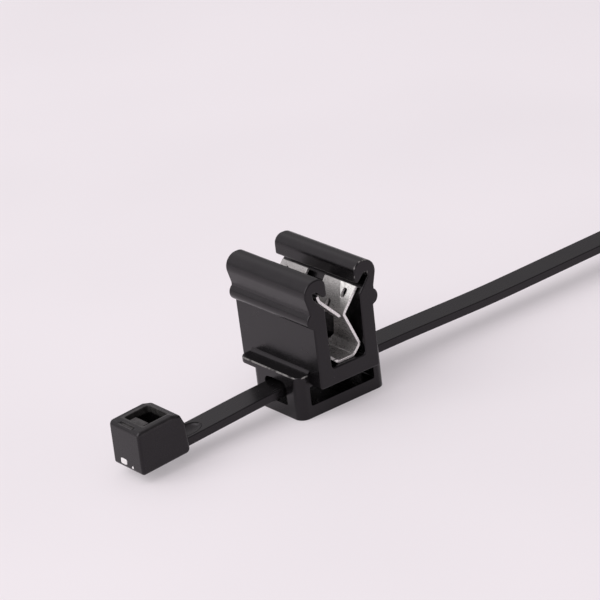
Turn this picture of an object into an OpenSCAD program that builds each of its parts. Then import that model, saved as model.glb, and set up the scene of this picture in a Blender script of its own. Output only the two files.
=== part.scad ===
// Cable tie mount: an edge clip with a spring liner, on a saddle that a cable tie is threaded through.
// Millimetres, +Z up. The origin is the middle of the saddle's underside, on the floor.
// +X runs along the tie towards its tail, and the clip's front end faces -Y.

/* [Saddle] */
// Width of the saddle along the tie (X)
saddle_width = 17.3; // [16.4:0.1:19]
// Length of the saddle across the tie (Y)
saddle_length = 11.9; // [10:0.1:13]
// Radius of the saddle's upright corners
saddle_corner = 1.6; // [1:0.1:2.2]
// Thickness of the plate under the tie
plate_thickness = 2.1; // [1.4:0.1:2.4]
// Height of the space between the plate and the jaw
slot_height = 3.2; // [3:0.1:4]
// Thickness of each side wall of the saddle
saddle_wall = 2.25; // [1.6:0.05:2.6]
// How far each tie opening rises above the jaw's underside
arch_rise = 0.6; // [0.3:0.1:0.8]
// Radius of the tie opening's upper corners
arch_corner = 1; // [0.4:0.1:1.6]
// Play on each side of the strap in its opening
strap_play = 0.3; // [0.15:0.05:0.6]

/* [Ledge] */
// Distance from the jaw's ends to the ledge's ends
ledge_setback = 2.45; // [1:0.05:3]
// Thickness of the ledge
ledge_thickness = 1.05; // [0.8:0.05:1.3]
// Height of the ledge's top above the jaw's underside
ledge_height = 2.1; // [1.8:0.1:2.6]
// Radius of the fillet at the foot of the jaw's walls
foot_fillet = 0.7; // [0.4:0.1:1.2]

/* [Jaw] */
// Length of the jaw along the panel edge (Y)
jaw_length = 20; // [18:0.5:24]
// Outside width of the jaw at its underside
jaw_width = 11.8; // [11.4:0.1:12.4]
// Height of the jaw from its underside to the crest of the lips
jaw_height = 18.25; // [17.6:0.05:19]
// Thickness of the jaw's floor
floor_thickness = 2.8; // [2.2:0.1:3]
// Thickness of the jaw's walls
jaw_wall = 2.55; // [2.3:0.05:2.65]
// Outward lean of the jaw's walls, in degrees
wall_lean = 0.7; // [0.4:0.1:1.2]
// Radius of the jaw's lower outer edges
jaw_edge = 0.4; // [0.2:0.05:0.8]
// Radius inside the jaw where wall meets floor
floor_fillet = 0.5; // [0.2:0.05:0.6]

/* [Lips] */
// How far the lips and the ribs stand out past the jaw's walls
lip_overhang = 1; // [0.85:0.01:1.15]
// Radius of each lip's round top
lip_radius = 2.2; // [2:0.05:2.3]
// Inward slope of each lip's outer side below its round top, in degrees
lip_taper = 15; // [12:1:18]
// Clear width between the two hooked lips
mouth_width = 5.7; // [5.4:0.1:6]
// Radius of each hook's nose
nose_radius = 0.45; // [0.35:0.05:0.5]
// Radius of the rib under each lip
rib_radius = 1.4; // [1.2:0.05:1.5]
// Depth of the rib's middle below the lip's middle
rib_drop = 4.3; // [4.1:0.05:4.6]
// Depth of the pocket behind each hook, cut into the wall's inner face
pocket_depth = 1.95; // [1.7:0.05:2.1]

/* [Spring] */
// Thickness of the spring sheet
sheet = 0.6; // [0.4:0.05:0.7]
// Bend radius at the middle of the sheet
sheet_bend = 0.7; // [0.5:0.05:0.9]
// Distance from the jaw's ends to the spring's ends
spring_setback = 0.8; // [0.5:0.05:1.5]
// Gap between the two legs at the waist
waist_gap = 0.5; // [0.3:0.05:0.8]
// Height of the waist above the jaw's floor
waist_height = 7.7; // [7.4:0.1:8]
// Gap between the finger tips and the hooks above them
tip_gap = 0.3; // [0.2:0.05:0.5]
// Distance of the finger tips from the jaw's middle plane
flare_reach = 4; // [3.8:0.05:4.1]
// Gap between the two fingers of one leg
finger_gap = 4.3; // [3.5:0.1:5]
// Width of each leg's strip at the waist
strip_width = 2.2; // [1.8:0.1:2.6]
// Width of each leg's strip at its foot
strip_foot = 6.8; // [5.5:0.1:7]
// Distance of the round-ended notch beside each barb from the carrying side of its finger
notch_place = 3.5; // [3:0.1:3.8]
// Width of that notch
notch_width = 1; // [0.6:0.05:1.1]
// Height of that notch above the waist
notch_height = 1.3; // [1.1:0.05:1.4]
// Width of the slit in each finger
slit_width = 0.7; // [0.5:0.05:0.8]
// Length of the slit in each finger, measured upright
slit_length = 1.2; // [0.8:0.05:1.4]
// Height of the slit's middle above the waist
slit_height = 2.65; // [2.4:0.05:2.8]
// Distance of the slit from the carrying side of its finger
slit_inset = 2.1; // [1.6:0.05:2.4]
// Play between the spring's knees and the jaw's walls
spring_play = 0.1; // [0.05:0.01:0.2]

/* [Tie] */
// Whole length of the tie, head and tail
tie_length = 200; // [150:5:250]
// Width of the strap
strap_width = 4.6; // [4.4:0.1:4.8]
// Thickness of the strap
strap_thickness = 1.45; // [1.2:0.05:1.5]
// Pitch of the strap's teeth
tooth_pitch = 1.2; // [1:0.1:1.6]
// Depth of the strap's teeth
tooth_depth = 0.45; // [0.3:0.05:0.55]
// Width of the smooth rail along each side of the teeth
rail_width = 0.7; // [0.5:0.05:0.9]
// Length of the tapered tail
tail_length = 14; // [10:1:18]
// Width of the tail's tip
tail_tip = 2.2; // [1.6:0.1:2.6]
// Length of bare strap between the head and the saddle
head_distance = 19.85; // [16:0.05:24]
// Gap between the strap and the jaw's underside
strap_headroom = 0.2; // [0.1:0.02:0.4]
// Length of the scoop on top of the strap, next to the head
scoop_length = 5.5; // [4:0.1:6]
// Width of that scoop
scoop_width = 3.8; // [3:0.1:4]
// Depth of that scoop
scoop_depth = 0.35; // [0.2:0.05:0.5]

/* [Head] */
// Length of the tie's head along the strap
head_length = 8.7; // [8.4:0.1:9.2]
// Width of the tie's head
head_width = 7.7; // [7.2:0.1:8.2]
// Height of the tie's head
head_height = 7.25; // [6.8:0.05:7.6]
// How far the head reaches below the strap
head_drop = 0.1; // [0.05:0.05:0.3]
// Length of the strap passage along the strap
passage_length = 4.6; // [4.4:0.05:4.8]
// Side wall of the head beside the passage
passage_wall = 1.4; // [1.2:0.05:1.45]
// Wall of the head behind the passage
passage_end = 2.1; // [1.9:0.05:2.3]
// Gap left for the strap between pawl and passage wall
pawl_gap = 1.6; // [1.55:0.05:1.7]
// Width of the pawl
pawl_width = 3.4; // [3:0.1:4]
// Width of the slot behind the pawl
release_width = 0.45; // [0.3:0.05:0.6]
// How far the head's end face reaches out at its foot
head_rake = 0.55; // [0.3:0.05:0.7]
// Radius of the head's rounded edges
head_edge = 0.6; // [0.4:0.05:0.8]

/* [Hidden] */
$fn = 48;
eps = 0.01;
over = 1;

// The heights of the clip, counted from the floor
jaw_under = plate_thickness + slot_height;
jaw_floor = jaw_under + floor_thickness;
jaw_top = jaw_under + jaw_height;
ledge_top = jaw_under + ledge_height;
ledge_under = ledge_top - ledge_thickness;
arch_top = jaw_under + arch_rise;

// The ledge's front end is flush with the saddle's, and the ledge is centred on the jaw
jaw_middle = jaw_length / 2 - ledge_setback - saddle_length / 2;
ledge_length = jaw_length - 2 * ledge_setback;
foot_inset = 0.3;
slot_width = saddle_width - 2 * saddle_wall;
arch_width = strap_width + 2 * strap_play;

function outer_x(z) = jaw_width / 2 + (z - jaw_under) * tan(wall_lean);
function inner_x(z) = outer_x(z) - jaw_wall;

lip_z = jaw_top - lip_radius;
lips_half = outer_x(lip_z) + lip_overhang;
lip_x = lips_half - lip_radius;
rib_x = lips_half - rib_radius;
rib_z = lip_z - rib_drop;
neck_rise = 1.7;
neck_z = rib_z + neck_rise;
taper_x = lip_x + lip_radius * cos(lip_taper);
taper_z = lip_z - lip_radius * sin(lip_taper);
neck_x = taper_x - (taper_z - neck_z) * tan(lip_taper);
nose_drop = 0.7;
nose_x = mouth_width / 2 + nose_radius;
nose_z = lip_z - nose_drop;
hook_slope = 45;
pocket_rise = 0.8;
pocket_top = nose_z + pocket_rise;
pocket_slope_height = 2.4;
pocket_low = nose_z - pocket_slope_height;
pocket_reach = inner_x(nose_z) + pocket_depth;

spring_length = jaw_length - 2 * spring_setback;
base_z = jaw_floor + sheet / 2;
knee_rise = 1.75;
knee_z = jaw_floor + knee_rise;
knee_x = inner_x(knee_z) - sheet / 2 - spring_play;
foot_x = knee_x - knee_rise + sheet / 2;
waist_x = waist_gap / 2 + sheet / 2;
waist_z = jaw_floor + waist_height;
tip_z = nose_z - nose_radius - tip_gap - sheet / 2;
leg_foot = base_z + sheet;

// The strap runs almost level under the jaw, dips to the head and sags a little past the saddle
saddle_edge = saddle_width / 2;
strap_start = -saddle_edge - head_distance;
strap_end = strap_start - head_length + tie_length;
seat_z = jaw_under - strap_thickness - strap_headroom;
seat_slope = 0.009;
head_slope = 0.068;
sag_slope = -0.017;
free_slope = 0.0185;
head_pitch = atan(head_slope);
head_bend = [saddle_edge - 2.65, saddle_edge + 7.35];
sag_bend = [saddle_edge + 1.35, saddle_edge + 11.35];
free_bend = [saddle_edge + 21.35, saddle_edge + 33.35];
tail_bend = [strap_end - 82.8, strap_end - 42.8];
tooth_first = 14;
tooth_share = 0.75;

// The head's own heights and lengths, counted from where the strap leaves it
head_low = -head_drop;
head_high = head_height - head_drop;
head_shoulder = 2.3;
passage_x = -head_length + passage_end;
pawl_top = 1;
pawl_thickness = 2;
pawl_reach = 5.6;
pawl_edge = 0.5;
release_depth = 2.4;

// Climb of a path whose slope grows evenly from 0 to 1 between two places
function ramp(x, bend) =
    x <= bend[0] ? 0 :
    x >= bend[1] ? x - (bend[0] + bend[1]) / 2 :
    (x - bend[0]) * (x - bend[0]) / (2 * (bend[1] - bend[0]));
function carried_z(x) =
    seat_z + seat_slope * x
    - (head_slope - seat_slope) * ramp(-x, head_bend)
    + (sag_slope - seat_slope) * ramp(x, sag_bend)
    + (free_slope - sag_slope) * ramp(x, free_bend);
// The last bend lets the tail's tip down to the floor
tail_turn = -carried_z(strap_end) / ramp(strap_end, tail_bend);
function strap_z(x) = carried_z(x) + tail_turn * ramp(x, tail_bend);
head_lift = strap_z(strap_start);

// Draws a flat outline of X and Z along Y, centred on the given Y
module along_y(length, middle = 0) {
    translate([0, middle + length / 2, 0])
        rotate([90, 0, 0])
            linear_extrude(length)
                children();
}

// Cuts a flat outline of Y and Z through everything from one X to another
module along_x(from_x, to_x) {
    translate([from_x, 0, 0])
        rotate([90, 0, 90])
            linear_extrude(to_x - from_x)
                children();
}

module both_sides() {
    children();
    mirror([1, 0, 0]) children();
}

module rounded_plan(width, length, radius) {
    square([width - 2 * radius, length], center = true);
    square([width, length - 2 * radius], center = true);
    for (x = [-1, 1], y = [-1, 1])
        translate([x * (width / 2 - radius), y * (length / 2 - radius)])
            circle(radius);
}

// The little triangle left between a corner and the circle that rounds it; the corner is at the origin
module corner_fill(radius) {
    difference() {
        square(radius);
        translate([radius, radius]) circle(radius);
    }
}

module jaw_solid_half() {
    difference() {
        polygon([
            [0, jaw_under],
            [outer_x(jaw_under), jaw_under],
            [outer_x(lip_z), lip_z],
            [0, lip_z]
        ]);
        translate([outer_x(jaw_under) + eps, jaw_under - eps])
            mirror([1, 0]) corner_fill(jaw_edge);
    }
    translate([lip_x, lip_z]) circle(lip_radius);
    translate([rib_x, rib_z]) circle(rib_radius);
    polygon([[0, rib_z], [neck_x, rib_z], [neck_x, neck_z], [taper_x, taper_z], [0, lip_z]]);
}

// The space between the walls; the hook's back rises from its round nose to the pocket's top
module jaw_space_half() {
    mouth_x = mouth_width / 2;
    back_x = nose_x + nose_radius * sin(hook_slope);
    back_z = nose_z - nose_radius * cos(hook_slope);
    difference() {
        polygon([
            [-over, jaw_floor],
            [inner_x(jaw_floor), jaw_floor],
            [inner_x(pocket_low), pocket_low],
            [pocket_reach, nose_z],
            [pocket_reach, pocket_top],
            [back_x + (pocket_top - back_z) / tan(hook_slope), pocket_top],
            [back_x, back_z],
            [nose_x, nose_z],
            [mouth_x, nose_z],
            [mouth_x, jaw_top + over],
            [-over, jaw_top + over]
        ]);
        translate([nose_x, nose_z]) circle(nose_radius);
        translate([inner_x(jaw_floor), jaw_floor])
            mirror([1, 0]) corner_fill(floor_fillet);
    }
}

module jaw_outline() {
    difference() {
        both_sides() jaw_solid_half();
        both_sides() jaw_space_half();
    }
}

module foot_outline() {
    both_sides()
        translate([outer_x(ledge_top) - eps, ledge_top - eps]) corner_fill(foot_fillet);
}

module arch_outline() {
    low = arch_top - arch_corner;
    translate([-arch_width / 2, plate_thickness]) square([arch_width, low - plate_thickness]);
    translate([-arch_width / 2 + arch_corner, low]) square([arch_width - 2 * arch_corner, arch_corner]);
    for (y = [-1, 1])
        translate([y * (arch_width / 2 - arch_corner), low]) circle(arch_corner);
}

module clip_body() {
    color([0.06, 0.06, 0.065]) {
        along_y(jaw_length, jaw_middle) jaw_outline();
        along_y(ledge_length - 2 * foot_inset, jaw_middle) foot_outline();
        difference() {
            union() {
                linear_extrude(ledge_top - eps)
                    rounded_plan(saddle_width, saddle_length, saddle_corner);
                translate([0, jaw_middle, ledge_under])
                    linear_extrude(ledge_thickness)
                        rounded_plan(saddle_width, ledge_length, saddle_corner);
            }
            translate([-slot_width / 2, -saddle_length / 2 - over, plate_thickness])
                cube([slot_width, saddle_length + 2 * over, slot_height]);
            along_x(-saddle_width / 2 - over, -slot_width / 2 + eps) arch_outline();
            along_x(slot_width / 2 - eps, saddle_width / 2 + over) arch_outline();
        }
    }
}

function unit(v) = v / norm(v);
function turn_of(a, b) = atan2(a[0] * b[1] - a[1] * b[0], a[0] * b[0] + a[1] * b[1]);
// Length that a bend takes from each of the two straight runs it joins
function trim_at(p, i, radius) =
    i <= 0 || i >= len(p) - 1 ? 0 :
    radius * tan(abs(turn_of(p[i] - p[i - 1], p[i + 1] - p[i])) / 2);

// A strip of sheet along a path of straight runs, with a round bend at each inner point
module bent_strip(p, thick, radius) {
    for (i = [0 : len(p) - 2]) {
        way = unit(p[i + 1] - p[i]);
        from = p[i] + way * trim_at(p, i, radius);
        to = p[i + 1] - way * trim_at(p, i + 1, radius);
        translate(from)
            rotate(atan2(way[1], way[0]))
                translate([-eps, -thick / 2])
                    square([norm(to - from) + 2 * eps, thick]);
    }
    for (i = [1 : len(p) - 2]) {
        way = unit(p[i] - p[i - 1]);
        turn = turn_of(p[i] - p[i - 1], p[i + 1] - p[i]);
        side = turn > 0 ? 1 : -1;
        start = p[i] - way * trim_at(p, i, radius);
        middle = start + side * radius * [-way[1], way[0]];
        first = atan2(start[1] - middle[1], start[0] - middle[0]);
        far = 2 * radius + thick;
        intersection() {
            translate(middle)
                difference() {
                    circle(radius + thick / 2);
                    circle(radius - thick / 2);
                }
            polygon([
                middle,
                middle + far * [cos(first), sin(first)],
                middle + far / cos(turn / 4) * [cos(first + turn / 2), sin(first + turn / 2)],
                middle + far * [cos(first + turn), sin(first + turn)]
            ]);
        }
    }
}

// One leg's fingers are straight; the other leg's run on and curl up behind the hook
straight_finger = [[flare_reach, tip_z]];
curl_out = 0.65;
curl_up = 1;
curled_finger = [[flare_reach, tip_z], [flare_reach + curl_out, tip_z + curl_up]];

module leg_outline(finger) {
    bent_strip(
        concat([[-eps, base_z], [foot_x, base_z], [knee_x, knee_z], [waist_x, waist_z]], finger),
        sheet, sheet_bend
    );
}

// Space cut out of one leg beside one strip: a window that narrows upwards on the strip's side, with a
// round-ended notch at its top. The strip's middle line is at 0, and the window reaches to far_y.
module strip_cut(far_y) {
    notch_z = waist_z + notch_height - notch_width / 2;
    polygon([
        [strip_foot, leg_foot],
        [far_y, leg_foot],
        [far_y, waist_z],
        [notch_place + notch_width, waist_z],
        [notch_place + notch_width, notch_z],
        [notch_place, notch_z],
        [notch_place, waist_z],
        [strip_width, waist_z]
    ]);
    translate([notch_place + notch_width / 2, notch_z]) circle(notch_width / 2);
    translate([slit_inset, waist_z + slit_height]) slit_outline();
}

// The cuts of the leg whose strips stand at the spring's ends
module end_strip_cuts() {
    half = spring_length / 2;
    for (side = [0, 1])
        mirror([side, 0])
            translate([half, 0])
                mirror([1, 0]) strip_cut(half);
    translate([-finger_gap / 2, leg_foot]) square([finger_gap, jaw_height]);
}

// The cuts of the leg whose strips stand next to the gap between its fingers
module inner_strip_cuts() {
    half = spring_length / 2;
    for (side = [0, 1])
        mirror([side, 0])
            translate([finger_gap / 2, 0]) strip_cut(half);
    translate([-finger_gap / 2, leg_foot]) square([finger_gap, jaw_height]);
}

module slit_outline() {
    reach = (slit_length - slit_width) / 2;
    square([slit_width, 2 * reach], center = true);
    for (z = [-1, 1])
        translate([0, z * reach]) circle(slit_width / 2);
}

module spring_insert() {
    color([0.66, 0.66, 0.64]) {
        difference() {
            along_y(spring_length, jaw_middle) leg_outline(straight_finger);
            translate([0, jaw_middle, 0]) along_x(0, lips_half) end_strip_cuts();
        }
        mirror([1, 0, 0])
            difference() {
                along_y(spring_length, jaw_middle) leg_outline(curled_finger);
                translate([0, jaw_middle, 0]) along_x(0, lips_half) inner_strip_cuts();
            }
    }
}

// The strap's side view, from its start inside the head to the tip of the tail
module strap_outline() {
    steps = 120;
    first = strap_start - passage_wall / 2;
    xs = [for (i = [0 : steps]) first + (strap_end - first) * i / steps];
    polygon(concat(
        [for (x = xs) [x, strap_z(x)]],
        [for (i = [steps : -1 : 0]) [xs[i], strap_z(xs[i]) + strap_thickness]]
    ));
}

// The spaces between the saw teeth along the strap's underside
module tooth_spaces() {
    from = strap_start + tooth_first;
    count = floor((strap_end - tail_length - from) / tooth_pitch);
    for (i = [0 : count - 1]) {
        x = from + i * tooth_pitch;
        steep_x = x + tooth_share * tooth_pitch;
        polygon([
            [x, strap_z(x) - eps],
            [steep_x, strap_z(steep_x) - eps],
            [steep_x, strap_z(steep_x) + tooth_depth]
        ]);
    }
}

// The head's side view; the origin is the strap's underside where the strap leaves the head
module head_outline() {
    polygon([
        [-head_length - head_rake, head_low + head_edge],
        [-head_length - head_rake + head_edge, head_low],
        [-head_edge, head_low],
        [0, head_low + head_edge],
        [0, head_high - head_shoulder],
        [-head_edge, head_high - head_edge],
        [-head_shoulder, head_high],
        [-head_length + head_edge, head_high],
        [-head_length, head_high - head_edge]
    ]);
}

// The pawl slants down from the end wall and leaves room for the strap at its tip
module pawl_outline() {
    tip = passage_x + passage_length - pawl_gap;
    polygon([
        [passage_x - eps, head_high - pawl_top],
        [passage_x - eps, head_high - pawl_top - pawl_thickness],
        [tip - pawl_edge, head_high - pawl_reach],
        [tip, head_high - pawl_reach + pawl_edge],
        [tip - pawl_edge, head_high - pawl_reach + pawl_thickness - pawl_edge],
        [passage_x + 2 * pawl_edge, head_high - pawl_top]
    ]);
}

module head_shape() {
    passage_width = head_width - 2 * passage_wall;
    difference() {
        along_y(head_width) head_outline();
        translate([passage_x, -passage_width / 2, head_low - over])
            cube([passage_length, passage_width, head_height + 2 * over]);
        translate([-head_length + head_edge, -pawl_width / 2, head_high - release_depth])
            cube([release_width, pawl_width, release_depth + over]);
        for (side = [0, 1])
            mirror([0, side, 0]) {
                translate([-head_length - head_rake - eps, -head_width / 2 - eps, head_low - over])
                    linear_extrude(head_height + 2 * over) corner_fill(head_edge);
                along_x(-head_length - head_rake - over, over)
                    translate([head_width / 2 + eps, head_high + eps])
                        rotate(180) corner_fill(head_edge);
            }
    }
    along_y(pawl_width) pawl_outline();
}

// Places what is drawn from the strap's start, tilted like the strap there
module at_head() {
    translate([strap_start, 0, head_lift])
        rotate([0, -head_pitch, 0])
            children();
}

module scoop_shape() {
    radius = scoop_width / 2;
    translate([0, 0, strap_thickness - scoop_depth])
        linear_extrude(over) {
            translate([eps, -radius]) square([scoop_length - radius, scoop_width]);
            translate([scoop_length - radius, 0]) circle(radius);
        }
}

// What is cut off beside the tail so that it narrows towards its tip
module tail_sides() {
    for (y = [-1, 1])
        translate([0, 0, -over])
            linear_extrude(jaw_height)
                polygon([
                    [strap_end - tail_length, y * strap_width / 2],
                    [strap_end + over, y * strap_width / 2],
                    [strap_end + over, y * tail_tip / 2],
                    [strap_end, y * tail_tip / 2]
                ]);
}

module cable_tie() {
    color([0.07, 0.07, 0.075])
        difference() {
            union() {
                along_y(strap_width) strap_outline();
                at_head() head_shape();
            }
            along_y(strap_width - 2 * rail_width) tooth_spaces();
            at_head() scoop_shape();
            tail_sides();
        }
}

clip_body();
spring_insert();
cable_tie();
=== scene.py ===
# %% [markdown]
# # A cable tie mount, dressed for its portrait
# The mount has three pieces: a black nylon clip that grips the edge of a panel, a bent steel spring that
# lies in the clip's jaw, and a black nylon tie that is threaded through the saddle under the jaw.
# The imported model comes in first. It is a fixed frame: every mesh below is made where that model says,
# and each of its parts is kept, hidden, once a finished piece replaces it.

# %% Load the frame
import math
import random

import bmesh
import bpy
from mathutils import Matrix, Vector


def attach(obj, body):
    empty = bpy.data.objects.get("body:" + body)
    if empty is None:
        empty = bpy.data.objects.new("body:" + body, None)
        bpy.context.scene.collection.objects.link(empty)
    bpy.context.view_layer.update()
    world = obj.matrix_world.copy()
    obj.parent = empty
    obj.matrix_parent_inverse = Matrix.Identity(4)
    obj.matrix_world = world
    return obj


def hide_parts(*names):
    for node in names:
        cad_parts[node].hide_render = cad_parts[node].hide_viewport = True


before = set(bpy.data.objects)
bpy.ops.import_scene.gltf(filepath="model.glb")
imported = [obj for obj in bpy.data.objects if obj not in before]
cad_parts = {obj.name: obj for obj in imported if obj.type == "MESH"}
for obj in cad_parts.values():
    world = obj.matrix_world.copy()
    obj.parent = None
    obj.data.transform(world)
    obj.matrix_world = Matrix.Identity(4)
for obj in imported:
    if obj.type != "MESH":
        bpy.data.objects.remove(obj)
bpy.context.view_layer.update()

print("nodes:", sorted(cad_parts))

# %% [markdown]
# ## Camera
# The photograph is taken from the left and from above with a long lens, so lines that are parallel stay
# nearly parallel. A camera is easiest to place by where it stands and by three turns: the heading round
# the object, the tilt down, and a small roll. The sizes in this file are millimetres, and MM turns them
# into Blender's metres where a mesh or an object is made.

# %% Stand the camera where the photographer stood
MM = 0.001
CAMERA_PLACE = (-255.8, -348.2, 202.6)
CAMERA_HEADING = 36.1
CAMERA_TILT = 23.3
CAMERA_ROLL = -7.0
CAMERA_LENS = 180.0

camera_data = bpy.data.cameras.new("portrait_camera")
camera_data.lens = CAMERA_LENS
camera_data.clip_start = 0.01
camera = bpy.data.objects.new("portrait_camera", camera_data)
bpy.context.scene.collection.objects.link(camera)
camera.matrix_world = (
    Matrix.Translation(Vector(CAMERA_PLACE) * MM)
    @ Matrix.Rotation(math.radians(-CAMERA_HEADING), 4, "Z")
    @ Matrix.Rotation(math.radians(90 - CAMERA_TILT), 4, "X")
    @ Matrix.Rotation(math.radians(CAMERA_ROLL), 4, "Z")
)
bpy.context.scene.camera = camera
print("camera stands at", [round(value, 3) for value in camera.location])

# %% [markdown]
# ## Shader maths
# A finish is a small sum: noise decides where a surface is rougher, paler or higher. Wiring such sums by
# hand hides them, so one class wraps a socket and lets Python's own operators add the Math nodes.
# Colours go through a Mix node, because a Math node would turn them grey.

# %% A socket that can be added and multiplied
class Wire:
    """An output socket of a material, with the operators that the finishes use."""

    def __init__(self, tree, socket=None):
        self.tree = tree
        self.socket = socket

    def add(self, kind, settings=None, inputs=None, output=0):
        """Adds a node: its settings are set first, then the values or links of its sockets."""
        node = self.tree.nodes.new(kind)
        for name, value in (settings or {}).items():
            setattr(node, name, value)
        for name, value in (inputs or {}).items():
            if isinstance(value, Wire):
                self.tree.links.new(value.socket, node.inputs[name])
            else:
                node.inputs[name].default_value = value
        return Wire(self.tree, node.outputs[output])

    def maths(self, operation, first, second):
        """A Math node on two values."""
        return self.add("ShaderNodeMath", {"operation": operation}, {0: first, 1: second})

    def __add__(self, other):
        return self.maths("ADD", self, other)

    __radd__ = __add__

    def __sub__(self, other):
        return self.maths("SUBTRACT", self, other)

    def __rsub__(self, other):
        return self.maths("SUBTRACT", other, self)

    def __mul__(self, other):
        return self.maths("MULTIPLY", self, other)

    __rmul__ = __mul__

    def size(self):
        """This value without its sign."""
        return self.maths("ABSOLUTE", self, 0.0)

    def larger(self, other):
        """The larger of this value and another."""
        return self.maths("MAXIMUM", self, other)

    def parts(self):
        """The three numbers of a place."""
        return [self.add("ShaderNodeSeparateXYZ", {}, {0: self}, axis) for axis in "XYZ"]

    def between(self, low, high):
        """0 below low and 1 above high, with a smooth step in between."""
        values = {"Value": self, "From Min": low, "From Max": high}
        return self.add("ShaderNodeMapRange", {"interpolation_type": "SMOOTHSTEP"}, values)

    def past(self, low, high):
        """The same smooth step, for a place along an axis and bounds in millimetres."""
        return self.between(low * MM, high * MM)

    def blend(self, first, second):
        """The first colour where this value is 0, the second where it is 1."""
        values = {"Factor": self, 6: first, 7: second}
        return self.add("ShaderNodeMix", {"data_type": "RGBA"}, values, 2)

    def stretched(self, scale):
        """This place, counted in units of its own along each axis."""
        return self.add("ShaderNodeVectorMath", {"operation": "MULTIPLY"}, {0: self, 1: scale})

    def noise(self, grain, detail=3.0, roughness=0.55):
        """Cloudy noise whose patches are about grain millimetres wide."""
        values = {"Vector": self, "Scale": 1 / (grain * MM), "Detail": detail, "Roughness": roughness}
        return self.add("ShaderNodeTexNoise", {}, values)

    def specks(self, spacing):
        """Distance to the nearest of many scattered points, about spacing millimetres apart."""
        values = {"Vector": self, "Scale": 1 / (spacing * MM)}
        return self.add("ShaderNodeTexVoronoi", {"feature": "F1"}, values)


def start_finish(name):
    """A new material with its shader, and the wire that carries a point's place on the object."""
    material = bpy.data.materials.new(name)
    material.use_nodes = True
    tree = material.node_tree
    shader = tree.nodes["Principled BSDF"]
    place = Wire(tree).add("ShaderNodeTexCoord", output=3)
    return material, shader, place


def feed(shader, **links):
    """Links wires to the shader's sockets, or sets plain values on them."""
    for name, value in links.items():
        socket = shader.inputs[name.replace("_", " ")]
        if isinstance(value, Wire):
            value.tree.links.new(value.socket, socket)
        else:
            socket.default_value = value


def raised(height, depth, strength=1.0):
    """A Bump node's normal: the height is a value from 0 to 1, and depth its millimetres."""
    values = {"Height": height, "Distance": depth * MM, "Strength": strength}
    return height.add("ShaderNodeBump", {}, values)


print("shader maths ready")

# %% [markdown]
# ## Black nylon
# The clip and the tie are moulded nylon. It is black but not flat: the mould leaves a fine satin grain,
# the melt leaves faint cloudy streaks where it flowed, and handling leaves pale dust. One function makes
# both finishes. Each piece brings its own two blacks, the direction of its streaks, its shine, and a rule
# that says where its edges are painted paler: painted highlights, and on the clip also a worn pale line.
# Such a rule needs the piece's sizes, so it waits for the piece.

# %% Nylon for the clip and for the tie
# Grey of real dust specks, and also of painted highlights and a worn pale line on edges.
DUST_AND_HIGHLIGHT_GREY = (0.30, 0.29, 0.28, 1.0)
NYLON_IOR = 1.40
NYLON_SHEEN = (1.0, 0.94, 1.0, 1.0)


def make_nylon(name, deep, worn, flow, shine, wear_and_painted_highlights):
    """Black nylon: deep and worn are its blacks, flow stretches its streaks, shine is its roughness."""
    material, shader, place = start_finish(name)
    cloud = place.noise(3.2, 4.0)
    streak = place.stretched(flow).noise(0.55, 3.0)
    grain = place.noise(0.11, 2.0)
    dust = 1 - place.specks(1.7).between(0.025, 0.05)
    patchy = place.noise(6.0, 2.0).between(0.52, 0.66)
    body = (cloud * 0.6 + streak * 0.4).between(0.3, 0.75).blend(deep, worn)
    # Each piece's pale marks blend towards that grey: painted highlights, and on the clip's ledge also a worn
    # line.
    body_with_wear_and_highlights = wear_and_painted_highlights(place).blend(body, DUST_AND_HIGHLIGHT_GREY)
    feed(
        shader,
        Base_Color=(dust * patchy * 0.5).blend(body_with_wear_and_highlights, DUST_AND_HIGHLIGHT_GREY),
        Roughness=shine + (cloud - 0.5) * 0.16 + (streak - 0.5) * 0.10 + dust * patchy * 0.2,
        Normal=raised(grain * 0.6 + streak * 0.4, 0.012, 0.55),
        IOR=NYLON_IOR,
        Specular_Tint=NYLON_SHEEN,
    )
    return material


print("nylon ready, index of refraction", NYLON_IOR)

# %% [markdown]
# ## Spring steel
# The spring is cut from rolled, bare sheet. Rolling leaves fine lines along the sheet, and the bare
# surface is mottled: bright metal with dull grey spots. The lines only change the roughness and the bump,
# and the spots also darken the colour. The sheared edges are painted near white, partly as fresh cut metal
# and partly as a painted highlight. They face the front or the rear, so the shader knows them by their
# normal.

# %% Steel for the spring
BRIGHT_STEEL = (0.49, 0.478, 0.467, 1.0)
DULL_STEEL = (0.26, 0.25, 0.245, 1.0)
# Near white for the sheared edges: partly fresh cut metal, partly a painted highlight.
SHEARED_AND_HIGHLIT_STEEL = (0.84, 0.82, 0.81, 1.0)


def make_steel(name):
    """Bare rolled sheet: mottled, with fine lines along it, and sheared edges painted bright: fresh metal and
    a painted highlight.
    """
    material, shader, place = start_finish(name)
    lines = place.stretched((1.0, 0.06, 1.0)).noise(0.10, 3.0)
    mottle = place.noise(0.42, 4.0, 0.65)
    spots = 1 - place.specks(0.62).between(0.10, 0.26)
    dull = mottle.between(0.42, 0.62) * 0.55 + spots * 0.35
    rolled = dull.blend(BRIGHT_STEEL, DULL_STEEL)
    facing = place.add("ShaderNodeTexCoord", output="Normal")
    sheared_and_highlit = facing.parts()[1].size().between(0.7, 0.9)
    feed(
        shader,
        Base_Color=sheared_and_highlit.blend(rolled, SHEARED_AND_HIGHLIT_STEEL),
        Metallic=0.6,
        Roughness=0.20 + mottle * 0.16 + (lines - 0.5) * 0.10,
        Normal=raised(lines * 0.5 + mottle * 0.5, 0.02, 0.4),
    )
    return material


SPRING_STEEL = make_steel("spring_steel")
print("steel:", SPRING_STEEL.name)

# %% [markdown]
# ## Floor and light
# The picture is taken on a pale sheet in a light tent. Light comes from everywhere, most of it from above,
# and one large lamp adds some from the left, so the shadows are soft and fall to the right.
# The floor's own colour makes the pale background. A part of that colour is a glow that only the camera and
# shiny surfaces see, so the background stays even, the shadow is kept, and no more light falls on the object.

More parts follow.
